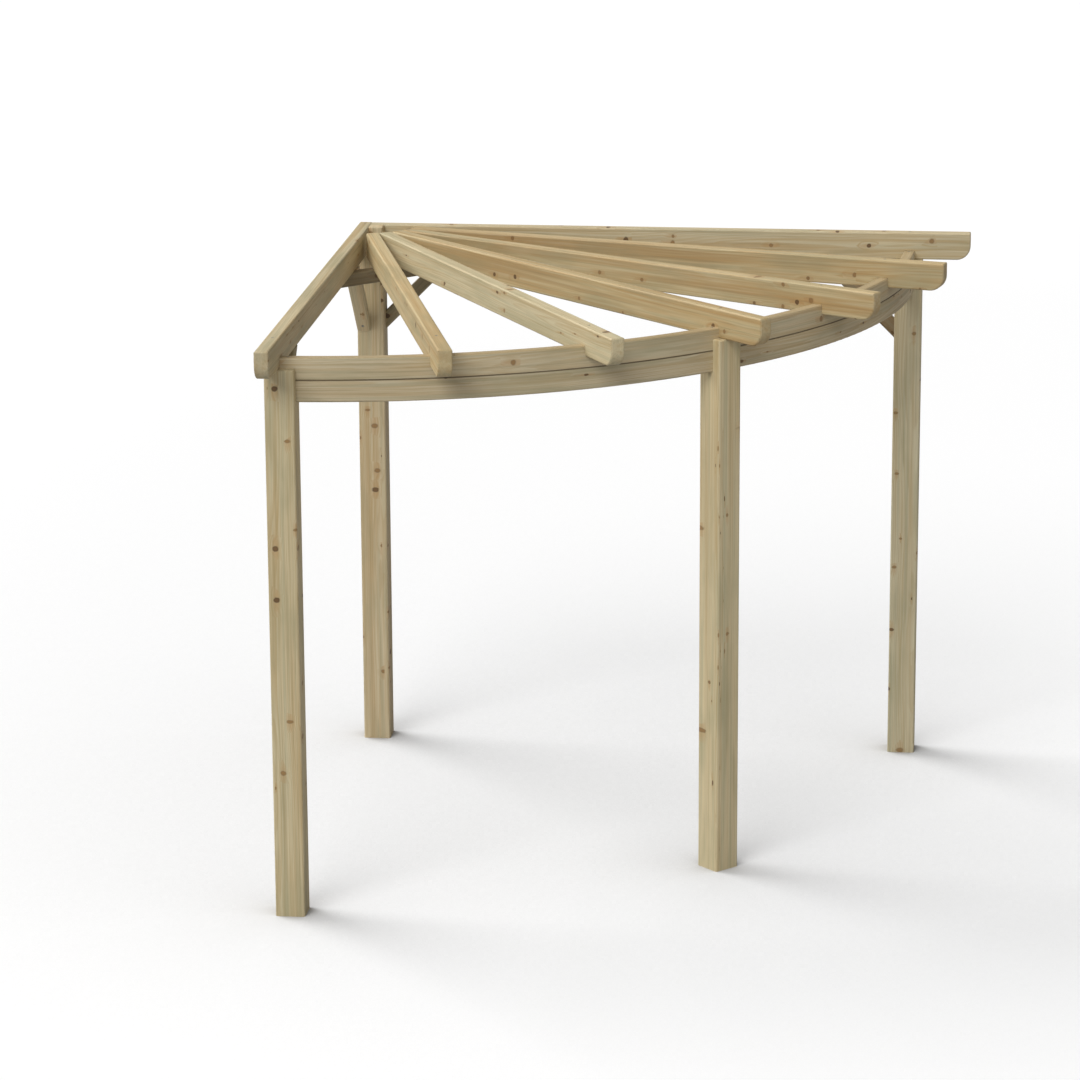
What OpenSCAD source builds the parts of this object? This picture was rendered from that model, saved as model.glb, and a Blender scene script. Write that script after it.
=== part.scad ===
// Corner pergola with a quarter-circle front: four posts, two curved beams and a fan of rafters.
// Millimetres. +Z is up, +X runs along the right side and -Y along the left side.
// The origin is the middle of the corner post's foot.

/* [Posts] */
// Width of each square post
post_w = 120; // [110:5:140]
// Radius of the rounded long edges of a post
post_round = 10; // [4:1:14]
// Height of the posts up to the underside of the rafters
post_h = 2255; // [2150:5:2450]

/* [Plan] */
// Radius of the curved beams' middle line, struck from the corner post's outer corner
arc_r = 2450; // [2000:10:3000]
// Distance from the corner post's middle out to the fan's centre, along both sides
fan_set = 20; // [10:1:26]
// Clear gap between the inner ends of neighbouring fan rafters
fan_gap = 1; // [0.5:0.5:12]

/* [Rafters] */
// Thickness of a rafter
rafter_b = 58; // [50:1:62]
// Depth of a rafter
rafter_h = 118; // [100:2:140]
// Overhang of the fan rafters past the curved beams
rafter_tail = 252; // [150:2:400]
// Overhang of an edge rafter past the middle of its post
edge_tail = 268; // [170:2:400]
// Radius of the rounded lower corner at a rafter's outer end
tail_round = 62; // [20:2:90]
// Radius of the rounded edges of the rafters, boards and braces
ease = 7.5; // [2:0.5:9]

/* [Curved beams] */
// Thickness of a curved board, measured along the radius
board_b = 48; // [40:1:56]
// Height of one of the two boards that lie on each other
board_h = 89; // [75:1:100]
// Radius of the boards' edges along the joint between them
joint_ease = 3; // [0.5:0.5:4]
// Height of the beams above the post tops, which is also the depth of the rafters' notches
beam_rise = 42; // [35:1:60]
// Play on each side of a beam in a rafter's notch
notch_play = 0.3; // [0.1:0.1:1]

/* [Braces and trimmer] */
// Thickness of a knee brace
brace_b = 58; // [45:1:62]
// Depth of a knee brace, square to its length
brace_h = 58; // [50:1:75]
// Rise of a knee brace from its lower tip to the rafter
brace_rise = 355; // [280:5:370]
// Thickness of the trimmer under the inner ends of the fan
trimmer_b = 58; // [40:1:66]
// Height of the trimmer
trimmer_h = 58; // [45:1:70]
// Distance from the corner post's middle to the trimmer's middle line
trimmer_d = 334; // [324:2:420]

/* [Screws] */
// Shank diameter of the screws
screw_d = 6; // [5:0.5:8]
// Head diameter of the countersunk screws
head_d = 12; // [11:0.5:14]
// Play around a screw in its hole
screw_play = 0.1; // [0.05:0.05:0.3]
// Length of the screws that hold a rafter down on a post
post_screw_l = 180; // [160:5:220]
// Length of the screws that hold a fan rafter down on a beam
beam_screw_l = 130; // [110:5:150]
// Length of the screws that join the two boards of a beam
board_screw_l = 140; // [120:5:150]
// Length of the screws that hold a beam's end on a post
lap_screw_l = 110; // [80:5:140]
// Length of the screws through the trimmer
trimmer_screw_l = 120; // [90:5:140]
// Length of the screws through a brace's ends
brace_screw_l = 80; // [60:5:100]
// Length of the screws through an edge rafter into the corner post
corner_screw_l = 110; // [80:5:114]

/* [Hidden] */
$fn = 48;

timber = "#b7a57c";
shade_timber = "#a99a74";
zinc = "#8f8b80";

// Levels
rafter_top = post_h + rafter_h;
beam_top = post_h + beam_rise;
joint_z = beam_top - board_h;
beam_foot = joint_z - board_h;

// Plan: the fan's five rafters and the two edge rafters divide the right angle evenly
fan_count = 5;
fan_step = 90 / (fan_count + 1);
half_post = post_w / 2;
strike = [-half_post, half_post];
edge_inner = half_post - rafter_b; // inner face of an edge rafter, whose outer face is the posts'
edge_set = half_post - rafter_b / 2;
edge_post_y = half_post - sqrt(arc_r * arc_r - half_post * half_post);
middle_post_x = arc_r * cos(45) - half_post;
fan_centre = [-fan_set, fan_set];
fan_start = (fan_gap + rafter_b * cos(fan_step / 2)) / (2 * sin(fan_step / 2));
fan_reach = arc_r + board_b / 2 + rafter_tail - (half_post - fan_set) * sqrt(2);
edge_reach = edge_tail - edge_post_y;
edge_angle = asin((half_post - edge_set) / arc_r);
past = 10; // how far a cutting shape runs past what it cuts

// Facets of a full circle as large as the beams' arc, when it is drawn as a mesh
arc_facets = 360;

// Screws
head_h = (head_d - screw_d) / 2;
tip_h = screw_d;
tip_d = screw_d / 8;
drive_w = 0.16 * head_d;
drive_l = 0.42 * head_d;
drive_h = 0.75 * head_h;
sunk = 0.2; // depth of a screw's head under the timber's face
spare_depth = 1; // how much deeper a hole is than its screw
counterbore = 24; // depth of a brace's counterbore, measured along the screw
counterbore_d = head_d + 2;
brace_screw_in = 30; // distance of a brace's screw from the brace's tip
board_screw_spots = [0.14, 0.5, 0.86];
left_corner_screw_z = [0.2, 0.7];
right_corner_screw_z = [0.36, 0.86];

// Unit vector along the fan rafter number i, from the fan's centre outwards
function fan_dir(i) = [sin(fan_step * i), -cos(fan_step * i)];

// Distance from the fan's centre to the curved beams' middle line along the fan rafter i
function beam_at(i) =
    let (d = fan_centre - strike, along = d * fan_dir(i))
    sqrt(along * along - d * d + arc_r * arc_r) - along;

// Distance from the fan's centre to the trimmer's middle line along the fan rafter i
function trimmer_at(i) =
    let (square_to = [sqrt(0.5), -sqrt(0.5)])
    (trimmer_d - fan_centre * square_to) / (fan_dir(i) * square_to);

// Plan point at distance t along the fan rafter i
function on_fan(i, t) = fan_centre + t * fan_dir(i);

// The right half is the left half seen in a mirror along the diagonal
module right_half() {
    mirror([1, 1, 0]) children();
}

// Rectangle with rounded corners, centred on the origin
module rounded_rect(w, h, r) {
    square([w - 2 * r, h], center = true);
    square([w, h - 2 * r], center = true);
    for (x = [-1, 1], y = [-1, 1])
        translate([x * (w / 2 - r), y * (h / 2 - r)]) circle(r);
}

// Straight timber with eased long edges, running from the origin along -Y
module bar(b, h, length) {
    rotate([90, 0, 0]) linear_extrude(length) rounded_rect(b, h, ease);
}

// Block about the origin with rounded edges, by r along its height and by rim at its ends
module rounded_block(size, r, rim) {
    intersection() {
        linear_extrude(size.z, center = true) rounded_rect(size.x, size.y, r);
        rotate([90, 0, 0]) linear_extrude(2 * size.y, center = true)
            rounded_rect(size.x, size.z, rim);
        rotate([90, 0, 90]) linear_extrude(2 * size.x, center = true)
            rounded_rect(size.y, size.z, rim);
    }
}

// Plain block from -X to +X about the origin, along -Y from y0 to y1
module block(b, y0, y1, z0, z1) {
    translate([-b / 2, -y1, z0]) cube([b, y1 - y0, z1 - z0]);
}

// Screw with its head in the plane z = 0 and its point below, turned from one profile
module screw(length) {
    shank_r = screw_d / 2;
    point_z = -sunk - length;
    difference() {
        rotate_extrude() polygon([
            [0, point_z],
            [tip_d / 2, point_z],
            [shank_r, point_z + tip_h],
            [shank_r, -sunk - head_h],
            [head_d / 2, -sunk],
            [0, -sunk]
        ]);
        for (turn = [0, 60, 120])
            rotate(turn) cube([drive_w, drive_l, 2 * drive_h], center = true);
    }
}

// Hole for that screw, countersunk at z = 0 and a little deeper than the screw is long
module screw_hole(length) {
    hole_r = screw_d / 2 + screw_play;
    mouth_r = head_d / 2 + screw_play;
    bottom_z = -sunk - length - spare_depth;
    rotate_extrude() polygon([
        [0, bottom_z],
        [hole_r, bottom_z],
        [hole_r, -sunk - head_h],
        [mouth_r, -sunk],
        [mouth_r, past],
        [0, past]
    ]);
}

// Places of the screws, each with +Z pointing out of the timber at the head
module at_left_post_top() {
    translate([-edge_set, edge_post_y, rafter_top]) children();
}

module at_middle_post_top() {
    translate([middle_post_x, -middle_post_x, rafter_top]) children();
}

module at_corner_lap() {
    translate([-edge_set, edge_set, rafter_top]) children();
}

module at_beam_on(i) {
    translate(concat(on_fan(i, beam_at(i)), rafter_top)) children();
}

module at_trimmer_on(i) {
    translate(concat(on_fan(i, trimmer_at(i)), post_h - trimmer_h)) mirror([0, 0, 1]) children();
}

module at_trimmer_end() {
    translate([-edge_set, -trimmer_d * sqrt(2) - edge_set, post_h - trimmer_h])
        mirror([0, 0, 1]) children();
}

module at_left_board_joints() {
    for (spot = board_screw_spots)
        translate(concat(strike, beam_foot)) rotate(-90 + 45 * spot)
            translate([arc_r, 0, 0]) mirror([0, 0, 1]) children();
}

// The screw on the edge post stands in the middle of the part of the lap inside the rafter
module at_left_lap_on_edge_post() {
    x = (half_post + edge_inner) / 2;
    y = half_post - sqrt(arc_r * arc_r - pow(half_post + x, 2));
    translate([x, y, beam_top]) children();
}

module at_left_lap_on_middle_post() {
    translate(concat(strike, beam_top)) rotate(-45)
        translate([arc_r, -(half_post + rafter_b / 2) / 2, 0]) children();
}

module at_left_corner_screws() {
    for (share = left_corner_screw_z)
        translate([-half_post, -half_post / 2, post_h + share * rafter_h])
            rotate([0, -90, 0]) children();
}

module at_right_corner_screws() {
    for (share = right_corner_screw_z)
        translate([half_post / 2, half_post, post_h + share * rafter_h])
            rotate([-90, 0, 0]) children();
}

// A brace is drawn in its own frame: it rises along -Y from a post's face at y = 0, and
// its screws lie in counterbores that open on its lower side
module at_brace_screws() {
    translate([0, -counterbore, post_h - brace_rise + brace_screw_in])
        rotate([90, 0, 0]) children();
    translate([0, brace_screw_in - brace_rise, post_h - counterbore])
        mirror([0, 0, 1]) children();
}

// The two places of a brace on the left half, flush with the outer faces of the posts
module to_corner_brace() {
    translate([brace_b / 2 - half_post, -half_post, 0]) children();
}

module to_left_post_brace() {
    translate([brace_b / 2 - half_post, edge_post_y + half_post, 0]) mirror([0, 1, 0]) children();
}

// Square post with rounded long edges and a rounded rim at the top
module post(height) {
    intersection() {
        rounded_block([post_w, post_w, 2 * height], post_round, ease);
        translate([-post_w, -post_w, 0]) cube([2 * post_w, 2 * post_w, height + past]);
    }
}

// Sharp-edged block that stands for an edge post or the middle post when a beam is cut to it
module post_block() {
    translate([0, 0, post_h / 2]) cube([post_w, post_w, post_h], center = true);
}

module to_left_post() {
    translate([0, edge_post_y, 0]) children();
}

module to_middle_post() {
    translate([middle_post_x, -middle_post_x, 0]) rotate(45) children();
}

// The corner post is rebated on its two outer sides: the edge rafters sit on the shoulders,
// and the quarter that is left stands up between them to the rafters' tops
module corner_post() {
    color(timber)
    difference() {
        post(rafter_top);
        translate([-post_w - edge_inner, -post_w, post_h]) cube([post_w, 2 * post_w, rafter_h + past]);
        translate([-post_w, edge_inner, post_h]) cube([2 * post_w, post_w, rafter_h + past]);
        at_corner_lap() screw_hole(post_screw_l);
        at_left_corner_screws() screw_hole(corner_screw_l);
        at_right_corner_screws() screw_hole(corner_screw_l);
        to_corner_brace() at_brace_screws() screw_hole(brace_screw_l);
        right_half() to_corner_brace() at_brace_screws() screw_hole(brace_screw_l);
    }
}

module left_post() {
    color(timber)
    difference() {
        to_left_post() post(post_h);
        at_left_post_top() screw_hole(post_screw_l);
        at_left_lap_on_edge_post() screw_hole(lap_screw_l);
        to_left_post_brace() at_brace_screws() screw_hole(brace_screw_l);
    }
}

module middle_post() {
    color(timber)
    difference() {
        to_middle_post() post(post_h);
        at_middle_post_top() screw_hole(post_screw_l);
        at_left_lap_on_middle_post() screw_hole(lap_screw_l);
        right_half() at_left_lap_on_middle_post() screw_hole(lap_screw_l);
    }
}

module right_post() {
    right_half() left_post();
}

// Section of a curved board, its upper edges rounded by top and its lower ones by foot
module board_section(top, foot) {
    intersection() {
        translate([0, -board_h / 2]) rounded_rect(board_b, 2 * board_h, top);
        translate([0, board_h / 2]) rounded_rect(board_b, 2 * board_h, foot);
    }
}

// One curved board of the left beam: an eighth of a ring, cut to the sides of its two posts
// and, above the post tops, to the sides of the edge rafter and the middle rafter
module left_board(z, top, foot) {
    difference() {
        translate(strike)
            rotate_extrude(angle = 45 - edge_angle, start = -90 + edge_angle, $fn = arc_facets)
                translate([arc_r, z + board_h / 2]) board_section(top, foot, $fn = 32);
        to_left_post() post_block();
        to_middle_post() post_block();
        translate([-edge_set, 0, 0]) block(rafter_b, 0, edge_reach, post_h - past, rafter_top);
        rotate(45) block(rafter_b, 0, fan_reach, post_h - past, rafter_top);
        at_left_board_joints() screw_hole(board_screw_l);
        at_left_lap_on_edge_post() screw_hole(lap_screw_l);
        at_left_lap_on_middle_post() screw_hole(lap_screw_l);
        for (i = [1, 2])
            at_beam_on(i) screw_hole(beam_screw_l);
    }
}

module left_beam_lower_board() {
    color(shade_timber) left_board(beam_foot, joint_ease, ease);
}

module left_beam_upper_board() {
    color(timber) left_board(joint_z, ease, joint_ease);
}

module right_beam_lower_board() {
    color(shade_timber) right_half() left_board(beam_foot, joint_ease, ease);
}

module right_beam_upper_board() {
    color(timber) right_half() left_board(joint_z, ease, joint_ease);
}

// Rafter along -Y from y0 to y1 with all its outer edges rounded alike. At its outer end a
// quarter disc makes the large round at the lower corner, and a block stands on top of it;
// all three meet at the middle of that round
module rafter_blank(y0, y1) {
    shank = y1 - tail_round - y0;
    cheek_h = rafter_h - tail_round;
    translate([0, tail_round - y1, post_h + tail_round]) {
        translate([0, shank, cheek_h - rafter_h / 2]) bar(rafter_b, rafter_h, shank);
        rotate([0, 90, 0]) rotate_extrude(angle = 90, start = -90, $fn = 96)
            intersection() {
                rounded_rect(2 * tail_round, rafter_b, ease, $fn = 48);
                translate([0, -rafter_b]) square([2 * tail_round, 2 * rafter_b]);
            }
        intersection() {
            rounded_block([rafter_b, 2 * tail_round, 2 * cheek_h], ease, ease);
            block(2 * rafter_b, 0, 2 * tail_round, 0, 2 * cheek_h);
        }
    }
}

// Room for the curved beams in the underside of a fan rafter
module beam_notch() {
    translate(strike) rotate_extrude(angle = 90, start = -90, $fn = arc_facets)
        translate([arc_r - board_b / 2 - notch_play, post_h - past])
            square([board_b + 2 * notch_play, beam_rise + past]);
}

// Fan rafters 1 to 5 stand on the trimmer; 3 lies on the middle post, the others are
// notched over the curved beams
module fan_rafter(i) {
    color(timber)
    difference() {
        translate(fan_centre) rotate(fan_step * i) rafter_blank(fan_start, fan_reach);
        at_trimmer_on(i) screw_hole(trimmer_screw_l);
        if (i == 3) {
            at_middle_post_top() screw_hole(post_screw_l);
        } else {
            beam_notch();
            at_beam_on(i) screw_hole(beam_screw_l);
        }
    }
}

module fan_rafter_1() { fan_rafter(1); }
module fan_rafter_2() { fan_rafter(2); }
module fan_rafter_3() { fan_rafter(3); }
module fan_rafter_4() { fan_rafter(4); }
module fan_rafter_5() { fan_rafter(5); }

// Edge rafter of the left side, still without its half of the corner joint
module left_edge_blank() {
    difference() {
        translate([-edge_set, 0, 0]) rafter_blank(-half_post, edge_reach);
        at_left_post_top() screw_hole(post_screw_l);
        at_corner_lap() screw_hole(post_screw_l);
        at_trimmer_end() screw_hole(trimmer_screw_l);
        to_corner_brace() at_brace_screws() screw_hole(brace_screw_l);
        to_left_post_brace() at_brace_screws() screw_hole(brace_screw_l);
    }
}

// Half of the depth over the crossing of the two edge rafters
module corner_lap(z) {
    translate([-edge_set, edge_inner, z])
        translate([-rafter_b, 0, 0]) cube([2 * rafter_b, rafter_b + past, rafter_h / 2 + past]);
}

// The left edge rafter keeps its upper half at the corner, the right one its lower half
module left_edge_rafter() {
    color(timber)
    difference() {
        left_edge_blank();
        corner_lap(post_h - past);
        at_left_corner_screws() screw_hole(corner_screw_l);
    }
}

module right_edge_rafter() {
    color(timber)
    difference() {
        right_half() difference() {
            left_edge_blank();
            corner_lap(post_h + rafter_h / 2);
        }
        at_right_corner_screws() screw_hole(corner_screw_l);
    }
}

// Trimmer across the corner under all the rafters, its ends flush with the edge rafters
module fan_trimmer() {
    half = trimmer_d + post_w;
    color(shade_timber)
    difference() {
        intersection() {
            rotate(45) translate([-half, -trimmer_d, post_h - trimmer_h / 2])
                rotate(90) bar(trimmer_b, trimmer_h, 2 * half);
            translate([-half_post, -2 * half, 0]) cube([2 * half, 2 * half + half_post, rafter_top]);
        }
        for (i = [1 : fan_count])
            at_trimmer_on(i) screw_hole(trimmer_screw_l);
        at_trimmer_end() screw_hole(trimmer_screw_l);
        right_half() at_trimmer_end() screw_hole(trimmer_screw_l);
    }
}

// Knee brace at 45 degrees between a post's face and the rafter above it
module brace() {
    difference() {
        intersection() {
            translate([0, 0, post_h - brace_rise]) rotate([-45, 0, 0])
                translate([0, brace_rise, brace_h / 2]) bar(brace_b, brace_h, 3 * brace_rise);
            block(2 * brace_b, 0, brace_rise, post_h - brace_rise, post_h);
        }
        at_brace_screws() screw_hole(brace_screw_l);
        at_brace_screws() cylinder(h = brace_rise, d = counterbore_d);
    }
}

module corner_brace_left() {
    color(shade_timber) to_corner_brace() brace();
}

module corner_brace_right() {
    color(shade_timber) right_half() to_corner_brace() brace();
}

module left_post_brace() {
    color(shade_timber) to_left_post_brace() brace();
}

module right_post_brace() {
    color(shade_timber) right_half() to_left_post_brace() brace();
}

// Screws down through the rafters into the four post tops
module post_top_screws() {
    color(zinc) {
        at_corner_lap() screw(post_screw_l);
        at_left_post_top() screw(post_screw_l);
        at_middle_post_top() screw(post_screw_l);
        right_half() at_left_post_top() screw(post_screw_l);
    }
}

// Screws down through the notched fan rafters into the beams
module rafter_screws() {
    color(zinc)
    for (i = [1, 2, 4, 5])
        at_beam_on(i) screw(beam_screw_l);
}

// Screws up through the lower boards into the upper boards
module beam_board_screws() {
    color(zinc) {
        at_left_board_joints() screw(board_screw_l);
        right_half() at_left_board_joints() screw(board_screw_l);
    }
}

// Screws down through the laps of the upper boards into the post tops
module beam_end_screws() {
    color(zinc) {
        at_left_lap_on_edge_post() screw(lap_screw_l);
        at_left_lap_on_middle_post() screw(lap_screw_l);
        right_half() at_left_lap_on_edge_post() screw(lap_screw_l);
        right_half() at_left_lap_on_middle_post() screw(lap_screw_l);
    }
}

// Screws up through the trimmer into all seven rafters
module trimmer_screws() {
    color(zinc) {
        for (i = [1 : fan_count])
            at_trimmer_on(i) screw(trimmer_screw_l);
        at_trimmer_end() screw(trimmer_screw_l);
        right_half() at_trimmer_end() screw(trimmer_screw_l);
    }
}

// Screws through the ends of the four braces, into the posts and the edge rafters
module brace_screws() {
    color(zinc) {
        to_corner_brace() at_brace_screws() screw(brace_screw_l);
        to_left_post_brace() at_brace_screws() screw(brace_screw_l);
        right_half() to_corner_brace() at_brace_screws() screw(brace_screw_l);
        right_half() to_left_post_brace() at_brace_screws() screw(brace_screw_l);
    }
}

// Screws through the edge rafters into the standing quarter of the corner post
module corner_screws() {
    color(zinc) {
        at_left_corner_screws() screw(corner_screw_l);
        at_right_corner_screws() screw(corner_screw_l);
    }
}

corner_post();
left_post();
middle_post();
right_post();
left_beam_lower_board();
left_beam_upper_board();
right_beam_lower_board();
right_beam_upper_board();
left_edge_rafter();
fan_rafter_1();
fan_rafter_2();
fan_rafter_3();
fan_rafter_4();
fan_rafter_5();
right_edge_rafter();
fan_trimmer();
corner_brace_left();
corner_brace_right();
left_post_brace();
right_post_brace();
post_top_screws();
rafter_screws();
beam_board_screws();
beam_end_screws();
trimmer_screws();
brace_screws();
corner_screws();
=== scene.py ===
"""A corner pergola with a quarter-circle front, in pressure-treated softwood."""

import math

import bmesh
import bpy
from mathutils import Matrix, Vector


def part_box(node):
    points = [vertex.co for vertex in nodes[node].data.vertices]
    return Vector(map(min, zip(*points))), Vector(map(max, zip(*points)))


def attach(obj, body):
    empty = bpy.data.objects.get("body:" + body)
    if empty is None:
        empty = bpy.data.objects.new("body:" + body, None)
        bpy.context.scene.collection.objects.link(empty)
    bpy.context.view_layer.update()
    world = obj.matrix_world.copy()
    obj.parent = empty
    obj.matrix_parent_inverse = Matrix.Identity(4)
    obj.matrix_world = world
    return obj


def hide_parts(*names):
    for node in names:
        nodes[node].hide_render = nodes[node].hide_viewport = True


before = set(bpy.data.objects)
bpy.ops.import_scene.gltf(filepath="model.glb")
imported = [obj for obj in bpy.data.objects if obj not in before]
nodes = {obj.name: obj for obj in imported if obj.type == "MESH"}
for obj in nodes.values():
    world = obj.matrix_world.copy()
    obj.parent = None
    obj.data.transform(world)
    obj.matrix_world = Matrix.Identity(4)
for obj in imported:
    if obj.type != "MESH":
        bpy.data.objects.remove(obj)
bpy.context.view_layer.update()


# The four posts. Each is one planed softwood post, 120 mm square with rounded long
# edges, sawn with the heart of the tree near a corner and then pressure treated.
# It stands on the ground on its own square end, the middle one turned by 45 degrees.


class Shade:
    """A value, vector, colour or shape in a node tree. Its sums and products add Math nodes."""

    def __init__(self, tree, socket=None):
        self.tree = tree
        self.socket = socket

    def node(self, kind, settings, inputs, out=0):
        """Adds a node: its settings first, then the values or links of its sockets."""
        made = self.tree.nodes.new(kind if "Node" in kind else "ShaderNode" + kind)
        for name, value in settings.items():
            setattr(made, name, value)
        for name, value in inputs.items():
            fitting = [s for s in made.inputs if s.identifier == name]
            fitting += [s for s in made.inputs if s.name == name]
            if isinstance(value, Shade):
                self.tree.links.new(value.socket, fitting[0])
            else:
                fitting[0].default_value = value
        return Shade(self.tree, made.outputs[out]) if made.outputs else None

    def maths(self, operation, first, second=0.0):
        return self.node("Math", {"operation": operation}, {"Value": first, "Value_001": second})

    def __add__(self, other):
        return self.maths("ADD", self, other)

    __radd__ = __add__

    def __sub__(self, other):
        return self.maths("SUBTRACT", self, other)

    def __rsub__(self, other):
        return self.maths("SUBTRACT", other, self)

    def __mul__(self, other):
        return self.maths("MULTIPLY", self, other)

    __rmul__ = __mul__

    def __truediv__(self, other):
        return self.maths("DIVIDE", self, other)

    def __rtruediv__(self, other):
        return self.maths("DIVIDE", other, self)

    def root(self):
        return self.maths("SQRT", self)

    def rise(self, low, high):
        """0 up to low, 1 past high and smooth between them. Low may be the larger."""
        ends = {"Value": self, "From Min": low, "From Max": high}
        return self.node("MapRange", {"interpolation_type": "SMOOTHSTEP"}, ends)

    def vector_maths(self, operation, other, out=0):
        both = {"Vector": self, "Vector_001": other}
        return self.node("VectorMath", {"operation": operation}, both, out)

    def scaled(self, x, y, z):
        return self.vector_maths("MULTIPLY", (x, y, z))

    def moved(self, x, y, z):
        return self.vector_maths("ADD", (x, y, z))

    def beside(self, other):
        return self.vector_maths("SUBTRACT", other)

    def along(self, direction):
        """How far this vector points along a direction, from 0 to 1, either way."""
        return self.maths("ABSOLUTE", self.vector_maths("DOT_PRODUCT", direction, "Value"))

    def part(self, axis):
        return self.node("SeparateXYZ", {}, {"Vector": self}, axis)

    def joined(self, x, y, z):
        return self.node("CombineXYZ", {}, {"X": x, "Y": y, "Z": z})

    def noise(self, detail, out=0):
        """Cloudy noise with about one cloud to each unit of this vector."""
        return self.node("TexNoise", {}, {"Vector": self, "Scale": 1.0, "Detail": detail}, out)

    def mixed(self, factor, under, over):
        sockets = {"Factor_Float": factor, "A_Color": under, "B_Color": over}
        return self.node("Mix", {"data_type": "RGBA"}, sockets, 2)

    def place(self):
        """Where the shaded point is, in the pergola's frame."""
        return self.node("TexCoord", {}, {}, "Object")

    def facing(self):
        """Which way the flat face looks that the shaded point is on."""
        return self.node("NewGeometry", {}, {}, "True Normal")


def seen(red, green, blue):
    """A colour as it is read off a screen, from 0 to 255, in linear light."""
    return (*(((v / 255 + 0.055) / 1.055) ** 2.4 for v in (red, green, blue)), 1.0)


def blank_material(name):
    """A new material without nodes, and the Shade that fills it."""
    material = bpy.data.materials.new(name)
    material.use_nodes = True
    material.node_tree.nodes.clear()
    return material, Shade(material.node_tree)


def in_timber(shade, start, along, up):
    """A point in a straight timber's own frame: X along it from its start, Z towards up."""
    along = Vector(along).normalized()
    side = Vector(up).cross(along).normalized()
    turn = Matrix((along, side, along.cross(side))).transposed().to_euler("XYZ")
    frame_of_it = {"Vector": shade.place(), "Location": start, "Rotation": turn}
    return shade.node("Mapping", {"vector_type": "TEXTURE"}, frame_of_it)


def branches(own, y, z, heart, knotty):
    """The marks that a log's branches leave at a place: knot, dead, bark, tail and swell.

    A branch runs straight out from the heart, so that its knot fits every face it meets.
    dead says that the branch had died, bark is the dark ring round a knot, tail the
    resin beside a knot along the grain, and swell how far the rings bend round it."""
    places_per_metre = 14.0
    reach = places_per_metre * (math.hypot(*heart) + 0.03)
    way_out = own.maths("ARCTAN2", y, z)
    outward = own.joined(own.part("X") * places_per_metre, way_out * reach, 0.0)
    cells = {"Vector": outward, "Scale": 1.0}
    flat = {"voronoi_dimensions": "2D"}
    lot = own.node("TexVoronoi", flat, cells, "Color")
    beside = outward.beside(own.node("TexVoronoi", flat, cells, "Position"))
    size = 0.002 + lot.part("X").rise(1 - knotty, 1.001 - knotty) * (0.065 + 0.085 * lot.part("Y"))
    off = beside.part("Y") * beside.part("Y")
    run = beside.part("X") * beside.part("X")
    wobble = 0.5 * own.scaled(110, 110, 110).noise(1.0) - 0.25
    near = (run + off).root() / size + wobble
    knot = near.rise(1.1, 0.75)
    dead = lot.part("Z").rise(0.6, 0.85)
    bark = near.rise(1.35, 1.0) * near.rise(0.6, 0.95) * (0.4 + 0.6 * dead)
    tail = ((run * 0.04 + off).root() / size + wobble).rise(1.7, 0.4)
    swell = ((run * 0.12 + off).root() / size).rise(3.2, 0.6) * size
    return knot, dead, bark, tail, swell


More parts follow.
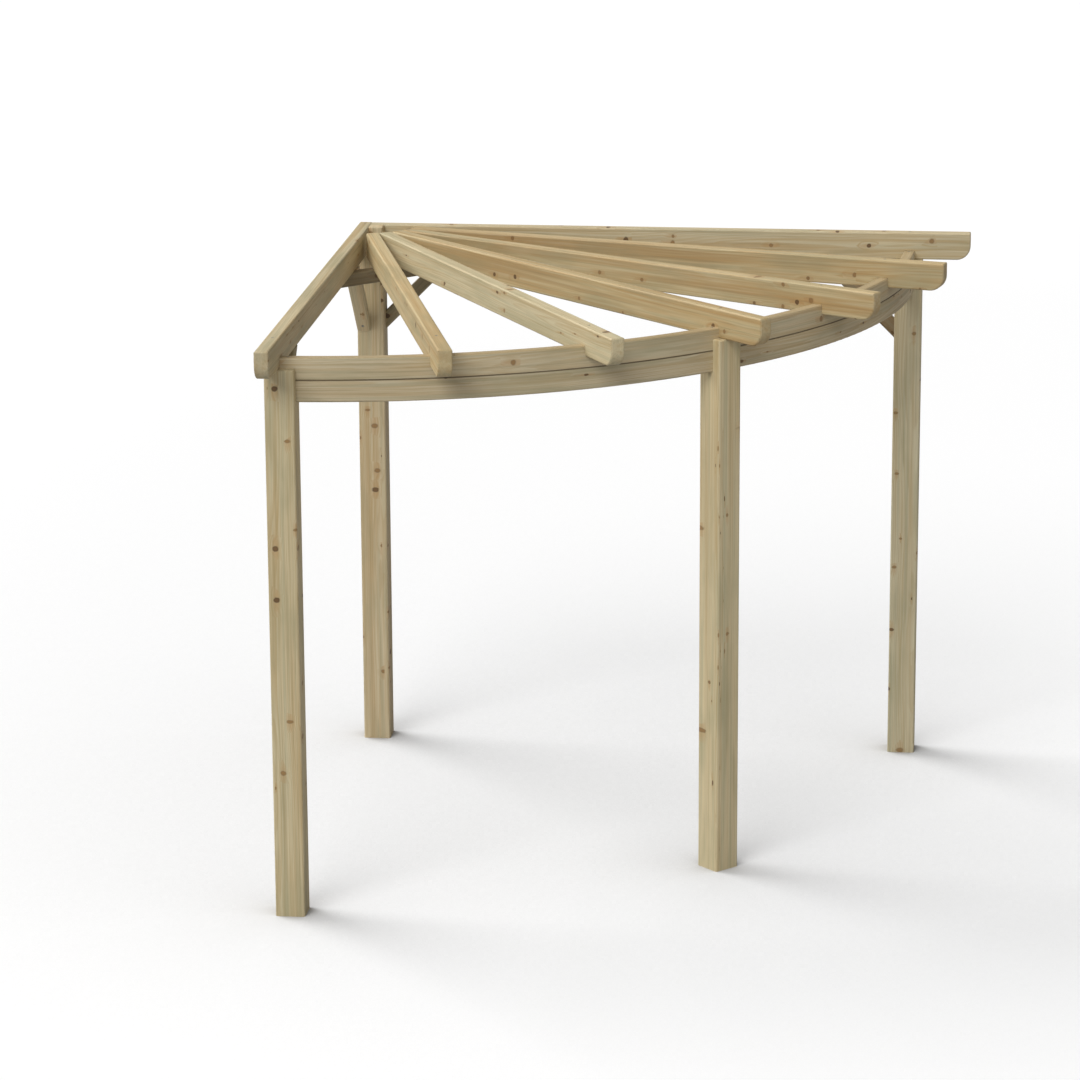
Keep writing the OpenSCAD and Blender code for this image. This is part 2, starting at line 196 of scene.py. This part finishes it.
def treated_softwood(
    node,
    point,
    grain,
    seed,
    heart,
    ring=0.0045,
    warm=0.3,
    knotty=0.2,
    stain=(1, 1, 1),
    joint=None,
    crown=0,
):
    """Gives a timber its wood: a log's rings and branches, cut where the timber is.

    point finds a place in the timber's frame, and grain says which way its fibres run there.
    heart is where the middle of the log lies beside the timber's middle line, and ring the
    width of a year's growth, in metres. warm goes from greenish grey to tan, knotty is the
    share of the branches' places that hold one, and stain is what the treatment left, with
    painted light in it: darker as painted shade on the trimmer and three braces, lighter on
    one brace. joint is the height in the timber's frame at which another board lies against
    it, where the colour is darkened as painted shade with some dirt, and crown says how much
    the rain has browned the faces that look up."""
    material, start = blank_material(node + "_wood")
    here = point(start)
    own = here.moved(7.3 * seed, 3.1 * seed, 5.7 * seed)
    cut_end = grain(start).rise(0.6, 0.85)

    # The heart wanders a little along the log, which draws the long arches on a flat face
    drift = own.scaled(0.7, 2.0, 2.0).noise(1.0, 1).moved(-0.5, -0.5, -0.5)
    across = here.moved(0, -heart[0], -heart[1])
    y = across.part("Y") + 0.06 * drift.part("Y")
    z = across.part("Z") + 0.06 * drift.part("Z")
    knot, dead, bark, tail, swell = branches(own, y, z, heart, knotty)
    knot, bark, tail = (part * (1 - cut_end) for part in (knot, bark, tail))

    # One ring a year, pale in spring and tan in autumn, which swells round a knot
    uneven = own.scaled(1.0, 9, 9).noise(2.0) * 2.6 + own.scaled(4, 70, 70).noise(1.0) * 0.8
    years = ((y * y + z * z).root() + 0.05 * swell) / ring + uneven
    season = start.maths("FRACT", years)
    autumn = season.rise(0.15, 0.85) * season.rise(1.0, 0.9)
    year = {"W": start.maths("FLOOR", years)}
    harvest = start.node("TexWhiteNoise", {"noise_dimensions": "1D"}, year)

    # Noise drawn out along the fibres, from broad bands to single fibres
    streak = own.scaled(0.9, 45, 45).noise(3.0)
    band = own.scaled(0.4, 16, 16).noise(2.0)
    line = own.scaled(1.4, 110, 110).noise(2.0)
    fibre = own.scaled(10, 700, 700).noise(2.0)
    cloud = own.scaled(2.5, 12, 12).noise(3.0)
    fleck = own.scaled(500, 500, 500).noise(1.0)

    pale = seen(208 + 4 * warm, 194 - 4 * warm, 163 - 20 * warm)
    tan = seen(182 + 14 * warm, 157 - 2 * warm, 112 - 14 * warm)
    green = seen(171, 163, 131)
    honey = seen(170, 130, 78)
    dark_line, pale_line = seen(152, 132, 92), seen(222, 208, 176)
    layers = [
        (autumn * (0.22 + 0.48 * harvest), tan),
        (streak.rise(0.48, 0.7) * (0.45 + 0.35 * warm), tan),
        (streak.rise(0.5, 0.34) * (0.55 - 0.35 * warm), green),
        (band.rise(0.45, 0.7) * (0.15 + 0.25 * warm), tan),
        (band.rise(0.52, 0.64) * 0.45 * warm, honey),
        (line.rise(0.55, 0.68) * 0.3, dark_line),
        (line.rise(0.45, 0.32) * 0.25, pale_line),
        (cloud.rise(0.45, 0.7) * 0.4, seen(160, 152, 118)),
        (fibre.rise(0.5, 0.8) * 0.3, seen(142, 122, 86)),
        (cut_end * 0.3, seen(208, 190, 154)),
        (cut_end * fleck.rise(0.5, 0.75) * 0.15, seen(132, 112, 78)),
        (tail * 0.35, seen(182, 136, 84)),
        (knot * 0.85, seen(148, 112, 68)),
        (knot * dead * 0.7, seen(88, 62, 38)),
        (bark * 0.6, seen(60, 44, 30)),
    ]
    if joint:
        # Darker along the joint: painted shade where the boards meet, with some dirt.
        joint_shade_and_dirt = start.maths("ABSOLUTE", here.part("Z") - joint).rise(0.0045, 0.0015)
        layers.append((joint_shade_and_dirt * 0.75, seen(58, 48, 32)))
    if crown:
        up = start.facing().part("Z").rise(0.4, 0.9)
        layers.append((up * crown, seen(150, 124, 78)))
    colour = pale
    for amount, tone in layers:
        colour = start.mixed(amount, colour, tone)

    height = autumn * 0.5 + fibre * 0.35 + knot * 0.4 + cut_end * fleck
    relief = {"Strength": 0.35, "Distance": 0.0004, "Height": height}
    surface = {
        "Base Color": colour.scaled(*stain),
        "Roughness": 0.6 + 0.16 * fibre + 0.12 * cut_end - 0.1 * autumn - 0.1 * knot,
        "Normal": start.node("Bump", {}, relief),
    }
    start.node("OutputMaterial", {}, {"Surface": start.node("BsdfPrincipled", {}, surface)})
    nodes[node].material_slots[0].material = material


def straight_timber(node, start, along, up=(0, 0, 1), **wood):
    """Gives a straight timber its wood, with the grain along it from its start."""
    direction = Vector(along).normalized()

    def point(shade):
        return in_timber(shade, start, along, up)

    def grain(shade):
        return shade.facing().along(direction)

    treated_softwood(node, point, grain, **wood)


posts = {
    "corner_post": dict(heart=(0.038, 0.03), warm=0.35, knotty=0.42, stain=(1.05, 1.05, 1.06)),
    "left_post": dict(heart=(-0.05, 0.045), warm=0.2, knotty=0.12, stain=(1.1, 1.12, 1.09)),
    "middle_post": dict(heart=(0.05, -0.04), warm=0.15, knotty=0.15, stain=(1.16, 1.18, 1.15)),
    "right_post": dict(heart=(0.045, 0.06), warm=0.1, knotty=0.2, stain=(1.09, 1.14, 1.16)),
}
for seed, (node, wood) in enumerate(posts.items(), 1):
    low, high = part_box(node)
    foot = ((low.x + high.x) / 2, (low.y + high.y) / 2, 0)
    face = (1, 1, 0) if node == "middle_post" else (0, 1, 0)
    straight_timber(node, foot, (0, 0, 1), up=face, seed=seed, **wood)


# The two curved beams, each of two boards that lie on each other. A board is laminated
# softwood bent to the front's arc, so its grain follows the curve. The upper boards lap
# over the post tops and the lower ones stop against the posts.

arc = 2.45
struck_from = (-0.06, 0.06)


def curved_board(node, under, **wood):
    """Gives a board of a beam its wood. under says that another board lies on top of it."""
    low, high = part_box(node)
    middle = (low.z + high.z) / 2
    joint = high.z - middle if under else low.z - middle

    def from_centre(shade):
        place = shade.place().moved(-struck_from[0], -struck_from[1], -middle)
        return place.part("X"), place.part("Y"), place.part("Z")

    def point(shade):
        x, y, z = from_centre(shade)
        length = shade.maths("ARCTAN2", y, x) * arc
        return shade.joined(length, (x * x + y * y).root() - arc, z)

    def grain(shade):
        x, y, _ = from_centre(shade)
        return shade.facing().along(shade.joined(-1 * (y / arc), x / arc, 0.0))

    treated_softwood(node, point, grain, joint=joint, crown=0.5, **wood)


curved_board("left_beam_lower_board", True, seed=5, heart=(0.06, 0.03), warm=0.05, knotty=0.1)
curved_board("left_beam_upper_board", False, seed=6, heart=(-0.07, -0.02), warm=0.1, knotty=0.1)
curved_board("right_beam_lower_board", True, seed=7, heart=(0.08, 0.01), warm=0.15, knotty=0.25)
curved_board("right_beam_upper_board", False, seed=8, heart=(-0.06, 0.035), warm=0.15, knotty=0.1)


# The two edge rafters, planed 58 x 118 mm and half-lapped over the corner post. Each
# is screwed down on its post and has its lower corner sawn round at the outer end.

left_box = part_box("left_edge_rafter")
right_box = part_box("right_edge_rafter")
rafter_z = (left_box[0].z + left_box[1].z) / 2
left_x = (left_box[0].x + left_box[1].x) / 2
right_y = (right_box[0].y + right_box[1].y) / 2
straight_timber(
    "left_edge_rafter",
    (left_x, 0, rafter_z),
    (0, -1, 0),
    seed=9,
    heart=(0.07, 0.03),
    warm=0.4,
    knotty=0.12,
    stain=(0.94, 0.97, 0.99),
)
straight_timber(
    "right_edge_rafter",
    (0, right_y, rafter_z),
    (1, 0, 0),
    seed=10,
    heart=(0.08, -0.01),
    warm=0.25,
    knotty=0.2,
    stain=(1.0, 1.03, 1.05),
)


# The fan of five rafters between them, one every 15 degrees about one point of the
# corner. The third lies on the middle post, the others are notched over the beams.

fan_centre = (-0.02, 0.02)
fan_step = 15
fan = {
    1: dict(heart=(0.06, 0.05), warm=0.6, stain=(0.99, 0.98, 0.92)),
    2: dict(heart=(-0.08, 0.02), warm=0.1, stain=(1.08, 1.11, 1.09)),
    3: dict(heart=(0.07, 0.0), warm=0.8, stain=(0.9, 0.9, 0.87)),
    4: dict(heart=(0.09, 0.03), warm=0.7, ring=0.0055, stain=(0.96, 0.97, 0.95)),
    5: dict(heart=(0.075, -0.02), warm=0.7, stain=(0.92, 0.91, 0.87)),
}
for number, wood in fan.items():
    turn = math.radians(fan_step * number)
    outward = (math.sin(turn), -math.cos(turn), 0)
    inner = (*fan_centre, rafter_z)
    straight_timber(f"fan_rafter_{number}", inner, outward, seed=10 + number, knotty=0.13, **wood)


# The trimmer, a planed 58 x 58 mm length across the corner under the fan's inner ends.
# It is screwed to all seven rafters from below.

from_corner = 0.236
low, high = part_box("fan_trimmer")
# Its stain is far darker than the other timbers': painted shade from the fan above it.
straight_timber(
    "fan_trimmer",
    (from_corner, -from_corner, (low.z + high.z) / 2),
    (1, 1, 0),
    seed=16,
    heart=(0.05, 0.03),
    warm=0.3,
    stain=(0.42, 0.41, 0.4),
)


# The four knee braces, 58 x 58 mm, sawn at 45 degrees between a post and a rafter. One
# screw holds each end, its head in a counterbore of the brace.

# corner_brace_left's stain is lightened as painted light on its lower face; the other three
# braces' stains are darkened as painted shade on their undersides.
braces = {
    "corner_brace_left": ((0, -1, 1), (1.24, 1.25, 1.27)),
    "left_post_brace": ((0, 1, 1), (0.65, 0.66, 0.63)),
    "corner_brace_right": ((1, 0, 1), (0.62, 0.62, 0.62)),
    "right_post_brace": ((-1, 0, 1), (0.48, 0.45, 0.42)),
}
for number, (node, (along, stain)) in enumerate(braces.items()):
    low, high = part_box(node)
    middle = tuple((low + high) / 2)
    heart = (0.05, 0.03 - 0.01 * number)
    straight_timber(node, middle, along, seed=17 + number, heart=heart, warm=0.35, stain=stain)


# The screws that hold it together: zinc-plated steel wood screws, 6 mm over the thread,
# with a countersunk head and a six-lobed recess. Each is sunk just under the timber's
# face, or in a counterbore of a brace, where the construction has it.

steel, plate = blank_material("zinc_plated_steel")
dull = plate.place().scaled(180, 180, 180).noise(3.0)
plating = plate.mixed(dull.rise(0.35, 0.7), seen(150, 148, 140), seen(186, 184, 176))
metal = {"Base Color": plating, "Metallic": 1.0, "Roughness": 0.34 + 0.2 * dull}
plate.node("OutputMaterial", {}, {"Surface": plate.node("BsdfPrincipled", {}, metal)})

screw_sizes = {"Head": 0.012, "Width": 0.006, "Pitch": 0.0034}
screws = bpy.data.node_groups.new("countersunk_wood_screw", "GeometryNodeTree")
screws.interface.new_socket("Places", in_out="INPUT", socket_type="NodeSocketGeometry")
size_socket = {
    size: screws.interface.new_socket(size, in_out="INPUT", socket_type="NodeSocketFloat")
    for size in ("Length", "Thread", *screw_sizes)
}
screws.interface.new_socket("Screws", in_out="OUTPUT", socket_type="NodeSocketGeometry")
given = {s.name: Shade(screws, s) for s in screws.nodes.new("NodeGroupInput").outputs}
length, thread, pitch = given["Length"], given["Thread"], given["Pitch"]
head = given["Head"] * 0.5
crest = given["Width"] * 0.5
core, shank, tip = crest * 0.64, crest * 0.72, crest * 2
cone = head - shank
tree = Shade(screws)


def lowered(shape, depth):
    place = tree.joined(0.0, 0.0, 0.0 - depth)
    return tree.node("GeometryNodeTransform", {}, {"Geometry": shape, "Translation": place})


def together(first, *others):
    """Several shapes as one."""
    joined = tree.node("GeometryNodeJoinGeometry", {}, {"Geometry": first})
    for other in others:
        screws.links.new(other.socket, joined.socket.node.inputs[0])
    return joined


def rod(radius, top, bottom):
    """A round rod from one depth under the head's face to another."""
    sizes = {"Vertices": 12, "Radius": radius, "Depth": bottom - top}
    drawn = tree.node("GeometryNodeMeshCylinder", {}, sizes, "Mesh")
    return lowered(drawn, (top + bottom) * 0.5)


def taper(radius, top_radius, depth, bottom, sides):
    """A cone, depth long, whose lower end lies at bottom under the head's face."""
    sizes = {"Vertices": sides, "Radius Top": top_radius, "Radius Bottom": radius, "Depth": depth}
    return lowered(tree.node("GeometryNodeMeshCone", {}, sizes, "Mesh"), bottom)


# The head is a cone, less a six-lobed prism whose lower face is added to close it
star_sizes = {"Points": 6, "Inner Radius": head * 0.3, "Outer Radius": head * 0.48}
star = tree.node("GeometryNodeCurveStar", {}, star_sizes, "Curve")
rounding = {"Curve": star, "Count": 2, "Radius": head * 0.07, "Limit Radius": True}
rounded = tree.node("GeometryNodeFilletCurve", {"mode": "POLY"}, rounding)
lobes = tree.node("GeometryNodeFillCurve", {"mode": "NGONS"}, {"Curve": rounded})
walls = tree.node("GeometryNodeExtrudeMesh", {}, {"Mesh": lobes, "Offset Scale": head * 0.9})
prism = together(walls, tree.node("GeometryNodeFlipFaces", {}, {"Mesh": lobes}))
prism = tree.node("GeometryNodeMergeByDistance", {}, {"Geometry": prism, "Distance": 1e-6})
cut = {"Mesh 1": taper(shank, head, cone, cone, 32), "Mesh 2": lowered(prism, head * 0.45)}
sunk_head = tree.node("GeometryNodeMeshBoolean", {"operation": "DIFFERENCE"}, cut)

# The thread is a right-handed ridge round the core, from the shank to the tip
ridge = crest * 0.18
helix_sizes = {
    "Resolution": 12,
    "Rotations": (thread - tip) / pitch,
    "Start Radius": crest - ridge,
    "End Radius": crest - ridge,
    "Height": thread - tip,
    "Reverse": True,
}
helix = tree.node("GeometryNodeCurveSpiral", {}, helix_sizes)
edge = tree.node("GeometryNodeCurvePrimitiveCircle", {}, {"Resolution": 4, "Radius": ridge})
sweep = {"Curve": helix, "Profile Curve": edge, "Fill Caps": True}
shaft = together(
    lowered(tree.node("GeometryNodeCurveToMesh", {}, sweep), length - tip),
    rod(shank, cone, length - thread),
    rod(core, length - thread, length - tip),
    taper(core * 0.1, core, tip, length, 12),
)
shaft = tree.node("GeometryNodeSetShadeSmooth", {}, {"Geometry": shaft})

# One screw on each place, turned so that its head looks along the place's "out"
out = tree.node("GeometryNodeInputNamedAttribute", {"data_type": "FLOAT_VECTOR"}, {"Name": "out"})
facing = tree.node("FunctionNodeAlignRotationToVector", {"axis": "Z"}, {"Vector": out})
screw = together(shaft, sunk_head)
setting = {"Points": given["Places"], "Instance": screw, "Rotation": facing}
placed = tree.node("GeometryNodeInstanceOnPoints", {}, setting)
placed = tree.node("GeometryNodeRealizeInstances", {}, {"Geometry": placed})
placed = tree.node("GeometryNodeSetMaterial", {}, {"Geometry": placed, "Material": steel})
screws.links.new(placed.socket, screws.nodes.new("NodeGroupOutput").inputs[0])


def screw_places(node):
    """For each screw of a node, the middle of its head, which way that looks, and its length."""
    rim_from_axis = 0.0059
    solids = bmesh.new()
    solids.from_mesh(nodes[node].data)
    bmesh.ops.remove_doubles(solids, verts=solids.verts, dist=1e-6)
    waiting = set(solids.verts)
    places = []
    while waiting:
        reached = [waiting.pop()]
        for vertex in reached:
            for other in (edge.other_vert(vertex) for edge in vertex.link_edges):
                if other in waiting:
                    waiting.remove(other)
                    reached.append(other)
        low = Vector([min(v.co[i] for v in reached) for i in range(3)])
        high = Vector([max(v.co[i] for v in reached) for i in range(3)])
        middle = (low + high) / 2
        way = max(range(3), key=lambda i: high[i] - low[i])
        sides = [i for i in range(3) if i != way]
        rim = [
            v.co[way]
            for v in reached
            if max(abs(v.co[i] - middle[i]) for i in sides) > rim_from_axis
        ]
        out = Vector((0, 0, 0))
        out[way] = 1 if sum(rim) / len(rim) > middle[way] else -1
        middle[way] = high[way] if out[way] > 0 else low[way]
        places.append((middle, out, high[way] - low[way]))
    solids.free()
    return sorted(places, key=lambda place: tuple(place[0]))


longest_thread = 0.075
for node in [name for name in nodes if name.endswith("_screws")]:
    heads, outs, lengths = zip(*screw_places(node))
    points = bpy.data.meshes.new(node + "_places")
    points.from_pydata(heads, [], [])
    looking = points.attributes.new("out", "FLOAT_VECTOR", "POINT")
    for mark, out in zip(looking.data, outs):
        mark.vector = out
    holder = bpy.data.objects.new(node + "_places", points)
    bpy.context.scene.collection.objects.link(holder)
    making = holder.modifiers.new("screws", "NODES")
    making.node_group = screws
    thread_length = min(0.6 * lengths[0], longest_thread)
    for size, value in {"Length": lengths[0], "Thread": thread_length, **screw_sizes}.items():
        making[size_socket[size].identifier] = value
    drawn = holder.evaluated_get(bpy.context.evaluated_depsgraph_get())
    plain = bpy.data.meshes.new_from_object(drawn)
    plain.materials.clear()
    plain.materials.append(steel)
    plain.polygons.foreach_set("material_index", [0] * len(plain.polygons))
    piece = bpy.data.objects.new("threaded_" + node, plain)
    bpy.context.scene.collection.objects.link(piece)
    bpy.data.objects.remove(holder)
    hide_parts(node)
    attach(piece, "root")


# The white floor and the studio's light: two soft lamps from the left, one a little
# behind the pergola and one in front of it, a wide one from the right and a faint sky.
# The camera sees a brighter floor than the wood is lit by, darker where posts hide the sky.

bpy.ops.mesh.primitive_plane_add(size=120)
floor = bpy.context.object
floor.name = "floor"
ground, base = blank_material("white_floor")
matt = base.node("BsdfDiffuse", {}, {"Color": (0.35, 0.35, 0.35, 1)})
dimmest = (4.4, 4.0)
spot = base.place().moved(-dimmest[0], -dimmest[1], 0)
away = spot.node("VectorMath", {"operation": "LENGTH"}, {"Vector": spot}, "Value")
open_sky = base.node("AmbientOcclusion", {"samples": 16}, {"Distance": 6.0}, "AO")
# The floor's light for the camera holds painted shade where the posts hide the sky, and grows a
# little brighter away from its dimmest spot.
floor_glow_with_painted_shade = 0.42 + 0.04 * away.rise(6, 9.6) - 0.83 * (1 - open_sky)
floor_glow_with_painted_shade = base.maths("MAXIMUM", floor_glow_with_painted_shade, 0.0)
lit = base.node("Emission", {}, {"Color": floor_glow_with_painted_shade, "Strength": 1.0})
white = base.node("BsdfDiffuse", {}, {"Color": (0.56, 0.56, 0.56, 1)})
bright = base.node("AddShader", {}, {"Shader": white, "Shader_001": lit})
for_camera = base.node("LightPath", {}, {}, "Is Camera Ray")
shown = base.node("MixShader", {}, {"Fac": for_camera, "Shader": matt, "Shader_001": bright})
base.node("OutputMaterial", {}, {"Surface": shown})
floor.data.materials.append(ground)

world = bpy.data.worlds.new("studio")
bpy.context.scene.world = world
world.use_nodes = True
world.node_tree.nodes.clear()
sky = Shade(world.node_tree)
camera_ray, glossy_ray, clear_ray = (
    sky.node("LightPath", {}, {}, ray)
    for ray in ("Is Camera Ray", "Is Glossy Ray", "Is Transmission Ray")
)
direct = sky.maths("MAXIMUM", camera_ray, clear_ray)
backdrop = {"Color": (1, 1, 1, 1), "Strength": 0.08 + 0.94 * direct + 0.2 * glossy_ray}
sky.node("OutputWorld", {}, {"Surface": sky.node("Background", {}, backdrop)})


def lamp(name, strength, spread, bearing, height):
    """A distant soft lamp. Its bearing is counted from +X towards +Y, where the lamp stands."""
    light = bpy.data.lights.new(name, "SUN")
    light.energy = strength
    light.angle = math.radians(spread)
    holder = bpy.data.objects.new(name, light)
    bpy.context.scene.collection.objects.link(holder)
    a, e = math.radians(bearing), math.radians(height)
    towards = Vector((math.cos(a) * math.cos(e), math.sin(a) * math.cos(e), math.sin(e)))
    holder.rotation_euler = towards.to_track_quat("Z", "Y").to_euler()


lamp("left_lamp", strength=2.3, spread=35, bearing=153, height=42)
lamp("front_lamp", strength=1.75, spread=35, bearing=248, height=40)
lamp("right_fill", strength=0.65, spread=100, bearing=315, height=25)


# The camera, at the place from which the pergola was drawn. Its focal length and the
# middle of its view are in pixels of a picture 1080 pixels wide.

picture = 1080
focal_length = 4219.113
view_x, view_y = 592.633, 540.5
camera = bpy.data.cameras.new("camera")
camera.sensor_width = 36
camera.lens = focal_length * 36 / picture
camera.shift_x = -(view_x - picture / 2) / picture
camera.shift_y = (view_y - picture / 2) / picture
camera.clip_end = 300
viewer = bpy.data.objects.new("camera", camera)
bpy.context.scene.collection.objects.link(viewer)
viewer.location = (2.7927, -18.3025, 5.84438)
yaw, dip, roll = -0.0983579, 0.2604772, -0.0025153
sight = Vector((math.sin(yaw) * math.cos(dip), math.cos(yaw) * math.cos(dip), -math.sin(dip)))
level = Vector((math.cos(yaw), -math.sin(yaw), 0))
upright = level.cross(sight)
right = math.cos(roll) * level + math.sin(roll) * upright
top = -math.sin(roll) * level + math.cos(roll) * upright
viewer.rotation_euler = Matrix((right, top, -sight)).transposed().to_euler()
bpy.context.scene.camera = viewer
bpy.context.scene.view_settings.view_transform = "Standard"
